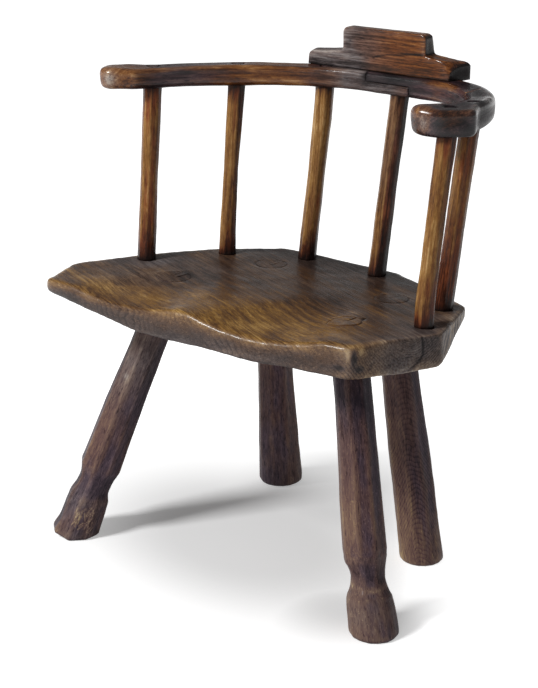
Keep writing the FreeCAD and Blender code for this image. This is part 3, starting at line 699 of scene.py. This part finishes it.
def grime_marks(skin, node, normals, near, proud, crack):
    """Dirt near joints, in hollows and in cracks."""
    facing_up = np.interp(normals[:, 2], GRIME_FACING, (0, 1))
    grime = near * (1 - GRIME_RUBBED * facing_up) + GRIME_HOLLOW * np.clip(-proud / HOLLOW, 0, 1)
    if PIECES[node] in ("seat", "legs"):
        grime[skin.co[:, 2] > TENON_LEVEL["legs"][0]] *= GRIME_TOP
    if node not in SCUFFED:
        grime = np.maximum(grime, crack)
    return np.clip(grime, 0, 1)


def rubbed_and_painted_light_marks(skin, node, normals, grain, gold_and_painted_light, crack):
    """Rubbed or dark places on top of a piece's patches, and painted light and shade on the left and right sides of
    sticks and legs.
    """
    kind = PIECES[node]
    if kind == "crest":
        gold_and_painted_light -= CREST_END_DARK * rise(normals[:, 0], *CREST_END_FACING)
    if node in SCUFFED:
        gold_and_painted_light += SCUFF_GOLD * crack
    gold_and_painted_light += SCRATCH_GOLD * scratches(grain, node)
    # Painted light on the left sides of sticks and legs, painted shade on their right, and painted shade along the
    # front left leg's left edge
    leftward = normals @ np.array(IMAGE_LEFT)
    gold_and_painted_light += PAINTED_SIDE_LIGHT.get(node, 0) * leftward + PAINTED_RIM_SHADE.get(node, 0) * rise(leftward, *PAINTED_RIM_FACING)
    if kind == "sticks":
        gold_and_painted_light -= STICK_FOOT_DARK * (1 - rise(skin.co[:, 2], *STICK_FOOT))
    return gold_and_painted_light


def make_piece(node, index):
    """The worn wooden piece that stands for a CAD node."""
    kind = PIECES[node]
    how = KINDS[kind]
    piece = even_copy(node, how["voxel"] * MM)
    skin = Skin(piece.data)
    near = nearness(skin.co, node)
    grain = how["grain"](skin.co, node)
    free = 1 - np.clip(near * FREE_SLOPE, 0, 1)
    skin.co = skin.smoothed(skin.co, how["ease"], HELD + (1 - HELD) * free)
    shape_piece(skin, node, grain)
    if kind == "seat":
        blend_seat_top(skin, near)
    if node in SOFTENED:
        skin.co = skin.smoothed(skin.co, SOFT_PASSES[node], SOFTENED[node](skin.co, grain) * free)
        skin.write()
    places = grain if kind == "arms" else skin.co
    crack = roughen(skin, node, index, grain, places, free)
    normals = skin.normals()
    proud = ((skin.co - skin.smoothed(skin.co, PROUD_PASSES)) * normals).sum(axis=1)
    dry_and_painted_sheen, gold_and_painted_light, tint = (patch_sum(channel, node, places, seed + index) for channel, seed in
                       (("dry_and_painted_sheen", DRY_AND_PAINTED_SHEEN_SEED), ("gold_and_painted_light", GOLD_AND_PAINTED_LIGHT_SEED), ("tint", TINT_SEED)))
    gold_and_painted_light = rubbed_and_painted_light_marks(skin, node, normals, grain, gold_and_painted_light, crack)
    ends = np.abs(normals @ grain_axis(node)) if kind in PLANK_TURN else np.zeros(len(normals))
    ends = np.maximum(np.interp(ends, END_FACING, (0, 1)), STRONG_FIGURE.get(node, 0))
    wear = skin.smoothed(np.clip(proud / RIDGE, 0, RIDGE_MOST), WEAR_PASSES) * free
    wear *= np.clip(WEAR_LEVEL + WEAR_RISE * normals[:, 2], WEAR_LEAST, 1)
    calm = np.full(len(normals), QUIET.get(node, 0.0))
    figure, arch = ring_place(grain, node)
    if kind == "seat":
        far = rise(normals @ FAR_FACET, *FAR_FACING)
        dry_and_painted_sheen += FRONT_DRY * rise(-normals[:, 1], *FRONT_DRY_FACING)
        ends = np.maximum(ends * SEAT_END, FAR_END * far)
        wear *= 1 - RIGHT_WEAR * rise(normals[:, 0], *RIGHT_FACING)
        calm = rise(-normals[:, 1], *CALM_FACING)
        figure[far > 0.5, 1:] *= FAR_FIGURE
    if kind in TENON_LEVEL:
        level, _ = TENON_LEVEL[kind]
        top = (skin.co[:, 2] > level) & (normals[:, 2] > TENON_POINT)
        figure[top], arch[top], dry_and_painted_sheen[top], gold_and_painted_light[top] = host_marks(skin.co[top], TENON_HOST[node])
        wear[top] = tint[top] = 0
    marks = dict(grain=figure, arch=arch, end=ends, wear=wear, dry_and_painted_sheen=np.clip(dry_and_painted_sheen, 0, 1), gold_and_painted_light=gold_and_painted_light, tint=tint, calm=calm,
                 grime=grime_marks(skin, node, normals, near, proud, crack))
    for name, values in marks.items():
        skin.store(name, values)
    piece.data.materials.append(MATERIALS[kind])
    dress_tenon(piece, kind)
    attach(piece, "root")
    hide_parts(node)


def ring_place(grain, node):
    """Each point's place from the heart of its tree, and the lean of the rings there."""
    index = list(PIECES).index(node)
    pith = np.array((0.0, *PITH.get(node, STICK_PITH)))
    return grain - pith + np.array((TREE_STEP * index, 0, 0)), grain[:, 0] * ARCH.get(node, ARCH_USUAL)


def host_marks(co, host):
    """The figure, dryness and gold that a piece has at points, for what ends flush in it."""
    index = list(PIECES).index(host)
    grain = KINDS[PIECES[host]]["grain"](co, host)
    places = grain if PIECES[host] == "arms" else co
    figure, arch = ring_place(grain, host)
    dry_and_painted_sheen = patch_sum("dry_and_painted_sheen", host, places, DRY_AND_PAINTED_SHEEN_SEED + index)
    return figure, arch, dry_and_painted_sheen, patch_sum("gold_and_painted_light", host, places, GOLD_AND_PAINTED_LIGHT_SEED + index)


def dress_tenon(piece, kind):
    """Gives the end of a through tenon the finish of the piece that it shows in."""
    if kind not in TENON_LEVEL:
        return
    level, finish = TENON_LEVEL[kind]
    piece.data.materials.append(MATERIALS[finish])
    for face in piece.data.polygons:
        if face.center.z > level and face.normal.z > TENON_FACE:
            face.material_index = 1


# Materials
def linear(code):
    """A colour written as it shows on a screen, as the renderer's linear numbers."""
    parts = [int(code[k:k + 2], 16) / 255 for k in (0, 2, 4)]
    parts = [p / 12.92 if p <= 0.04045 else ((p + 0.055) / 1.055) ** 2.4 for p in parts]
    return (*parts, 1.0)


class Graph:
    """Short ways to add nodes to a material."""

    def __init__(self, tree):
        self.tree = tree

    def add(self, kind, inputs=None, **settings):
        node = self.tree.nodes.new("ShaderNode" + kind)
        for key, value in settings.items():
            setattr(node, key, value)
        self.fill(node, inputs or {})
        return node

    def fill(self, node, inputs):
        """Links sockets to a node's inputs, and sets the others to plain values."""
        for key, value in inputs.items():
            if isinstance(value, bpy.types.NodeSocket):
                self.tree.links.new(value, node.inputs[key])
            else:
                node.inputs[key].default_value = value

    def math(self, operation, first, second=0.0, clamp=False):
        node = self.add("Math", {0: first, 1: second}, operation=operation, use_clamp=clamp)
        return node.outputs[0]

    def vector(self, operation, first, second=(0, 0, 0)):
        node = self.add("VectorMath", {0: first, 1: second}, operation=operation)
        return node.outputs["Value" if operation in ("LENGTH", "DOT_PRODUCT") else "Vector"]

    def attribute(self, name, output="Fac"):
        return self.add("Attribute", attribute_name=name).outputs[output]

    def noise(self, vector, per_metre, detail, rough, output="Fac"):
        scaled = self.vector("MULTIPLY", vector, per_metre)
        node = self.add("TexNoise", {"Vector": scaled, "Scale": 1.0, "Detail": detail,
                                               "Roughness": rough})
        return node.outputs[output]

    def layer(self, vector, along, across, detail, rough, spread):
        """Noise along and across the grain, with its spread, where one is given, drawn out from 0 to 1."""
        value = self.noise(vector, (along, across, across), detail, rough)
        return self.remap(value, *spread) if spread else value

    def remap(self, value, low, high, to_low=0.0, to_high=1.0):
        node = self.add("MapRange", {"Value": value, "From Min": low, "From Max": high,
                                               "To Min": to_low, "To Max": to_high},
                        interpolation_type="SMOOTHSTEP")
        return node.outputs["Result"]

    def plus(self, start, value, weight, clamp=False):
        """start plus value times weight."""
        return self.math("ADD", start, self.math("MULTIPLY", value, weight), clamp)

    def weighted(self, start, terms):
        """start plus the sum of (socket - 0.5) times weight."""
        total = start
        for socket, weight in terms:
            total = self.plus(total, self.math("SUBTRACT", socket, 0.5), weight)
        return total

    def ramp(self, value, codes):
        """A colour from dark to pale, with one code for each of the ramp's places."""
        node = self.add("ValToRGB", {"Fac": value})
        ramp = node.color_ramp
        while len(ramp.elements) < len(RAMP_PLACES):
            ramp.elements.new(1.0)
        for element, place, code in zip(ramp.elements, RAMP_PLACES, codes.split()):
            element.position = place
            element.color = linear(code)
        return node.outputs["Color"]

    def mix(self, factor, first, second):
        return self.add("Mix", {0: factor, 6: first, 7: second}, data_type="RGBA").outputs[2]


# Layers of noise in the wood: features per metre along and across the grain, detail, roughness and spread
LAYERS = {
    "streak": (7.0, 150.0, 3.0, 0.6, (0.34, 0.66)),
    "fine": (100.0, 800.0, 3.0, 0.7, None),
    "patch": (12.0, 34.0, 5.0, 0.62, None),
    "stain": (70.0, 190.0, 4.0, 0.65, None),
    "pores": (90.0, 430.0, 2.0, 0.6, (0.57, 0.70)),
    "fleck": (230.0, 410.0, 2.0, 0.6, (0.58, 0.72)),
    "shown": (7.0, 18.0, 2.0, 0.5, (0.42, 0.62)),
    "hue": (8.0, 30.0, 3.0, 0.6, None),
}
FIBRE_LAYER = (360.0, 4.0, 0.6, (0.34, 0.66))
DRIFT_LAYER, DRIFT = ((5.0, 22.0, 22.0), 3.0, 0.5), (0, 0.022, 0.022)
RING_SPREAD, END_RING = (0.02, 0.6), 0.13
CALM_FIGURE, CALM_FLECK = 0.75, 0.10
# What each mark adds to the tone, the hue, the roughness and the height
TONE, FINE_TONE, GOLD_AND_PAINTED_LIGHT_TONE, END_TONE, GRIME_TONE = 0.44, 0.55, 0.2, -0.04, -0.42
RUB_SPREAD, RUB_LEAST = (0.36, 0.62), 0.25
GOLD_AND_PAINTED_LIGHT_HUE, WEAR_HUE, HUE_SPREAD = -0.25, -0.15, (0.38, 0.62)
DRY_LEAST = 0.75
FIBRE_ROUGH, STAIN_ROUGH, DRY_ROUGH, WEAR_ROUGH, COAT_ROUGH = 0.06, 0.25, 0.3, -0.1, 0.18
FIBRE_HEIGHT, FINE_HEIGHT, STAIN_HEIGHT, PORE_HEIGHT = 0.25, 0.35, 0.5, -0.2
BUMP, BUMP_DISTANCE = 0.5, 0.0012


# The usual wood: rings and fibres per metre, how much each thing shows, and its gloss and wax
USUAL_WOOD = dict(
    rings=250.0, ring=0.1, streak=0.2, fibre=0.2, fibre_per_metre=20.0, fleck=0.05, pore=0.12, patch=0.5, stain=0.35,
    wear=0.1, gloss=0.36, shine=0.1, coat=0.05, rubbed_coat=0.1)


def wood(name, warm, cool, own_grain=True, **changes):
    """Old waxed wood: growth rings about the heart, fibres, pores, stains, rubbed edges and dark corners, with painted
    highlights, sheen and shade from its gold and dry marks.
    """
    look = {**USUAL_WOOD, **changes}
    material = bpy.data.materials.new(name)
    material.use_nodes = True
    graph = Graph(material.node_tree)
    shader = material.node_tree.nodes["Principled BSDF"]
    # What carries no grain of its own takes it from its place
    grain = graph.attribute("grain", "Vector") if own_grain else graph.add("NewGeometry").outputs["Position"]
    wear, grime, gold_and_painted_light, dry_and_painted_sheen, tint, end, arch, calm = (
        graph.attribute(key) for key in ("wear", "grime", "gold_and_painted_light", "dry_and_painted_sheen", "tint", "end", "arch", "calm"))
    drift = graph.noise(grain, *DRIFT_LAYER, "Color")
    drift = graph.vector("MULTIPLY", graph.vector("SUBTRACT", drift, (0.5, 0.5, 0.5)), DRIFT)
    bent = graph.vector("MULTIPLY", graph.vector("ADD", grain, drift), (0.0, 1.0, 1.0))
    radius = graph.math("ADD", graph.vector("LENGTH", bent), arch)
    ring = graph.remap(graph.math("FRACT", graph.math("MULTIPLY", radius, look["rings"])), *RING_SPREAD)
    layer = {key: graph.layer(grain, *values) for key, values in LAYERS.items()}
    layer["fibre"] = graph.layer(grain, look["fibre_per_metre"], *FIBRE_LAYER)
    shown = graph.math("MAXIMUM", layer["shown"], end)
    shown = graph.math("MULTIPLY", shown, graph.plus(look["ring"], end, END_RING))
    figure = graph.weighted(0.0, ((layer[key], look[key]) for key in ("streak", "fibre", "patch", "stain")))
    tone = graph.weighted(TONE, ((layer["fine"], FINE_TONE),))
    tone = graph.plus(tone, figure, graph.plus(1.0, calm, -CALM_FIGURE))
    tone = graph.plus(tone, graph.math("SUBTRACT", ring, 0.5), shown)
    tone = graph.plus(tone, layer["pores"], -look["pore"])
    tone = graph.plus(tone, layer["fleck"], graph.plus(look["fleck"], calm, CALM_FLECK))
    rub = graph.math("MULTIPLY", wear, graph.remap(layer["patch"], *RUB_SPREAD, RUB_LEAST))
    # Rubbed edges, then the gold marks, which also carry painted highlights and painted shade
    tone = graph.plus(graph.plus(tone, rub, look["wear"]), gold_and_painted_light, GOLD_AND_PAINTED_LIGHT_TONE)
    tone = graph.plus(graph.plus(tone, end, END_TONE), grime, GRIME_TONE, True)
    hue = graph.math("ADD", layer["hue"], tint)
    hue = graph.plus(graph.plus(hue, gold_and_painted_light, GOLD_AND_PAINTED_LIGHT_HUE), wear, WEAR_HUE)
    colour = graph.mix(graph.remap(hue, *HUE_SPREAD), graph.ramp(tone, warm), graph.ramp(tone, cool))
    # The dry grey, which also carries painted highlights and a painted sheen
    dull_and_painted_sheen = graph.math("MULTIPLY", dry_and_painted_sheen, graph.remap(layer["fibre"], 0.0, 1.0, DRY_LEAST), True)
    colour = graph.mix(dull_and_painted_sheen, colour, graph.ramp(tone, DRY_AND_PAINTED_SHEEN_CODES))
    rough = graph.weighted(look["gloss"], ((layer["fibre"], FIBRE_ROUGH), (layer["stain"], STAIN_ROUGH)))
    rough = graph.plus(graph.plus(rough, dull_and_painted_sheen, DRY_ROUGH), wear, WEAR_ROUGH)
    height = graph.weighted(0.5, ((layer["fibre"], FIBRE_HEIGHT), (layer["fine"], FINE_HEIGHT),
                                  (layer["stain"], STAIN_HEIGHT)))
    height = graph.plus(height, layer["pores"], PORE_HEIGHT)
    bump = graph.add("Bump", {"Height": height, "Strength": BUMP, "Distance": BUMP_DISTANCE})
    coat = graph.plus(look["coat"], wear, look["rubbed_coat"])
    coat = graph.math("MULTIPLY", coat, graph.math("SUBTRACT", 1.0, dull_and_painted_sheen), True)
    graph.fill(shader, {"Base Color": colour, "Roughness": rough, "Normal": bump.outputs["Normal"], "Coat Weight": coat,
                        "Coat Roughness": COAT_ROUGH, "Specular IOR Level": look["shine"]})
    return material


# Colours from dark to pale, as they show on a screen: grey for dry wood and for painted highlights and sheen, and two
# for each kind
RAMP_PLACES = (0.0, 0.3, 0.5, 0.72, 1.0)
DRY_AND_PAINTED_SHEEN_CODES = "1a1819 3a3637 5d5656 7a7270 a69d96"
MATERIALS = {
    "seat": wood("seat_wood", "1a110b 392415 5a3d22 84602f b79256", "17110f 30231d 4c382c 6c5138 a08464",
                 rings=270.0, ring=0.14, streak=0.16, fibre_per_metre=16.0, fleck=0.08, stain=0.24, wear=0.16,
                 shine=0.12, coat=0.14, rubbed_coat=0.16),
    "legs": wood("leg_wood", "160f10 392828 5b4442 795f50 a89068", "151219 312831 4f4049 6d5a63 988582",
                 ring=0.07, streak=0.06, fibre=0.14, fibre_per_metre=40.0, fleck=0.12, pore=0.2, patch=0.28,
                 stain=0.26, wear=0.14, gloss=0.5, shine=0.06, coat=0.03),
    "sticks": wood("stick_wood", "1e110a 492c19 6f4926 8e6636 bb9664", "190e0b 3f1f13 66351f 854b29 ab7f55",
                   rings=260.0, fibre_per_metre=18.0, patch=0.6, coat=0.04),
    "arms": wood("arm_wood", "190f0b 3b2012 5c3418 7d5028 b48c5c", "151013 2e2124 493336 654a40 97795e",
                 rings=240.0, ring=0.12, fibre_per_metre=26.0, fleck=0.06, patch=0.6, wear=0.16, gloss=0.34, coat=0.1,
                 rubbed_coat=0.6),
    "crest": wood("crest_wood", "160d09 3c2211 613518 804e25 b48c5c", "140e0d 34211a 533326 704a35 9e7a58",
                  ring=0.14, fibre=0.34, fibre_per_metre=11.0, pore=0.14, stain=0.4, wear=0.2, gloss=0.34,
                  rubbed_coat=0.45),
    "wedges": wood("wedge_wood", "1a110b 392415 5a3d22 745430 9a7a50", "17110f 30231d 4c382c 5f4834 8a7054",
                   streak=0.1, fibre=0.12, pore=0.1, patch=0.4, stain=0.3, gloss=0.4, shine=0.15, rubbed_coat=0.0,
                   own_grain=False),
}

for index, node in enumerate(PIECES):
    make_piece(node, index)

WEDGE_SWELL = 2.0 * MM
WEDGE_PROUD = 0.15 * MM
WEDGE_SPLIT = 0.03


def make_wedges(node, finish, hosts):
    """Wedges swollen to fill their worn slots, with the figure of the pieces that they end in."""
    piece = bpy.data.objects.new("worn_" + node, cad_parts[node].data.copy())
    show(piece)
    solid = bmesh.new()
    solid.from_mesh(piece.data)
    bmesh.ops.remove_doubles(solid, verts=solid.verts, dist=0.01 * MM)
    solid.to_mesh(piece.data)
    solid.free()
    skin = Skin(piece.data)
    skin.co = skin.co + WEDGE_SWELL * skin.normals() * np.array((1, 1, 0))
    if finish == "seat":
        skin.co[:, 2] += TENON_PROUD + WEDGE_PROUD
    skin.write()
    figure = np.zeros((len(skin.co), 3))
    arch, dry_and_painted_sheen, gold_and_painted_light = np.zeros((3, len(skin.co)))
    on_right = skin.co[:, 0] > WEDGE_SPLIT
    for host in hosts:
        here = np.full(len(skin.co), True) if len(hosts) == 1 else on_right == host.startswith("right")
        figure[here], arch[here], dry_and_painted_sheen[here], gold_and_painted_light[here] = host_marks(skin.co[here], host)
    for name, values in (("grain", figure), ("arch", arch), ("dry_and_painted_sheen", np.clip(dry_and_painted_sheen, 0, 1)), ("gold_and_painted_light", gold_and_painted_light)):
        skin.store(name, values)
    piece.data.materials.clear()
    piece.data.materials.append(MATERIALS[finish])
    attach(piece, "root")
    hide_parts(node)


make_wedges("leg_wedges", "seat", ("seat",))
make_wedges("stick_wedges", "arms", ("left_arm", "right_arm"))
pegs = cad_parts["crest_pegs"].data.materials
pegs.clear()
pegs.append(MATERIALS["wedges"])

# Floor, light and camera
FLOOR_HALF = 20.0
mesh = bpy.data.meshes.new("floor")
corners = [(x * FLOOR_HALF, y * FLOOR_HALF, 0) for x, y in ((-1, -1), (1, -1), (1, 1), (-1, 1))]
mesh.from_pydata(corners, [], [(0, 1, 2, 3)])
floor = bpy.data.objects.new("floor", mesh)
show(floor)
paper = bpy.data.materials.new("floor_paper")
paper.use_nodes = True
graph = Graph(paper.node_tree)
paper.node_tree.nodes.clear()

# To the camera, also by way of a mirror or glass, the floor glows a little under the chair and is white further off.
# Where it glows little, in an ellipse under the chair and by the front right foot, it shows the lamp's shadow and adds
# painted shade; to the right the full glow is painted light over the lamp's shadows
NEAR_GLOW = 0.10
EDGE_GLOW = 0.49
FAR_GLOW = 0.92
# Painted shade: an ellipse under the chair where the floor glows least
SHADE_MIDDLE = (-0.047, -0.031, 0.0)
SHADE_HALF = (0.43, 0.31, 1.0)
SHADE_TURN = math.radians(14.5)
SHADE_SPREAD = (0.28, 0.9)
# Painted shade: a smaller patch by the front right foot
FOOT_SHADE = (0.20, -0.13, 0.0)
FOOT_SHADE_HALF = (0.09, 0.085, 1.0)
FOOT_SHADE_SPREAD = (0.1, 1.7)
FAR_SPREAD = (0.75, 1.6)
RIGHT_SPREAD = (0.14, 0.25)
PAPER = (0.82, 0.82, 0.82, 1)
place = graph.add("NewGeometry").outputs["Position"]
turned = graph.add("VectorRotate", {"Vector": graph.vector("SUBTRACT", place, SHADE_MIDDLE),
                                              "Angle": SHADE_TURN},
                   rotation_type="Z_AXIS").outputs["Vector"]
away = graph.vector("LENGTH", graph.vector("DIVIDE", turned, SHADE_HALF))
painted_foot_shade = graph.vector("DIVIDE", graph.vector("SUBTRACT", place, FOOT_SHADE), FOOT_SHADE_HALF)
painted_foot_shade = graph.remap(graph.vector("LENGTH", painted_foot_shade), *FOOT_SHADE_SPREAD, NEAR_GLOW, EDGE_GLOW)
glow_with_painted_shade = graph.math("MINIMUM", graph.remap(away, *SHADE_SPREAD, NEAR_GLOW, EDGE_GLOW), painted_foot_shade)
# Painted light: to the right the glow rises to white over the lamp's shadows
rightward = graph.vector("DOT_PRODUCT", place, -IMAGE_LEFT)
beyond = graph.math("MAXIMUM", graph.remap(away, *FAR_SPREAD), graph.remap(rightward, *RIGHT_SPREAD))
glow_with_painted_shade = graph.plus(glow_with_painted_shade, beyond, FAR_GLOW - EDGE_GLOW)
diffuse = graph.add("BsdfDiffuse", {"Color": PAPER})
path = graph.add("LightPath").outputs
seen = graph.math("MAXIMUM", path["Is Camera Ray"], path["Is Glossy Ray"])
seen = graph.math("MAXIMUM", seen, path["Is Transmission Ray"])
glow = graph.add("Emission", {"Strength": graph.math("MULTIPLY", seen, glow_with_painted_shade)})
both = graph.add("AddShader", {0: diffuse.outputs[0], 1: glow.outputs[0]})
graph.add("OutputMaterial", {"Surface": both.outputs[0]})
mesh.materials.append(paper)

# The room is white low down and dim above, so that the waxed seat shows its own colour
AMBIENT = 0.2
SKYLINE = (0.04, 0.16)
world = bpy.data.worlds.new("studio")
world.use_nodes = True
bpy.context.scene.world = world
graph = Graph(world.node_tree)
background = world.node_tree.nodes["Background"]
toward = graph.add("TexCoord").outputs["Generated"]
height = graph.add("SeparateXYZ", {0: toward}).outputs["Z"]
straight = graph.add("LightPath").outputs["Is Camera Ray"]
level = graph.math("MAXIMUM", graph.remap(height, *SKYLINE, 1.0, AMBIENT), straight)
graph.fill(background, {"Color": (1, 1, 1, 1), "Strength": level})


def aimed(data, place, target):
    """A lamp or camera in the scene that looks from one place at another."""
    obj = bpy.data.objects.new(data.name, data)
    obj.location = place
    obj.rotation_euler = (target - place).to_track_quat("-Z", "Y").to_euler()
    show(obj)
    return obj


# One soft lamp, which the camera doesn't see
KEY_PLACE, KEY_TARGET = Vector((-0.95, -2.3, 2.5)), Vector((0, 0, 0.35))
KEY_SIZE, KEY_POWER = 0.7, 92
lamp = bpy.data.lights.new("key", "AREA")
lamp.shape = "RECTANGLE"
lamp.size = lamp.size_y = KEY_SIZE
lamp.energy = KEY_POWER
aimed(lamp, KEY_PLACE, KEY_TARGET).visible_camera = False

camera = bpy.data.cameras.new("camera")
camera.lens = LENS
camera.sensor_width = SENSOR
bpy.context.scene.camera = aimed(camera, CAMERA_PLACE, CAMERA_TARGET)
bpy.context.scene.view_settings.view_transform = "Standard"

bpy.context.view_layer.update()
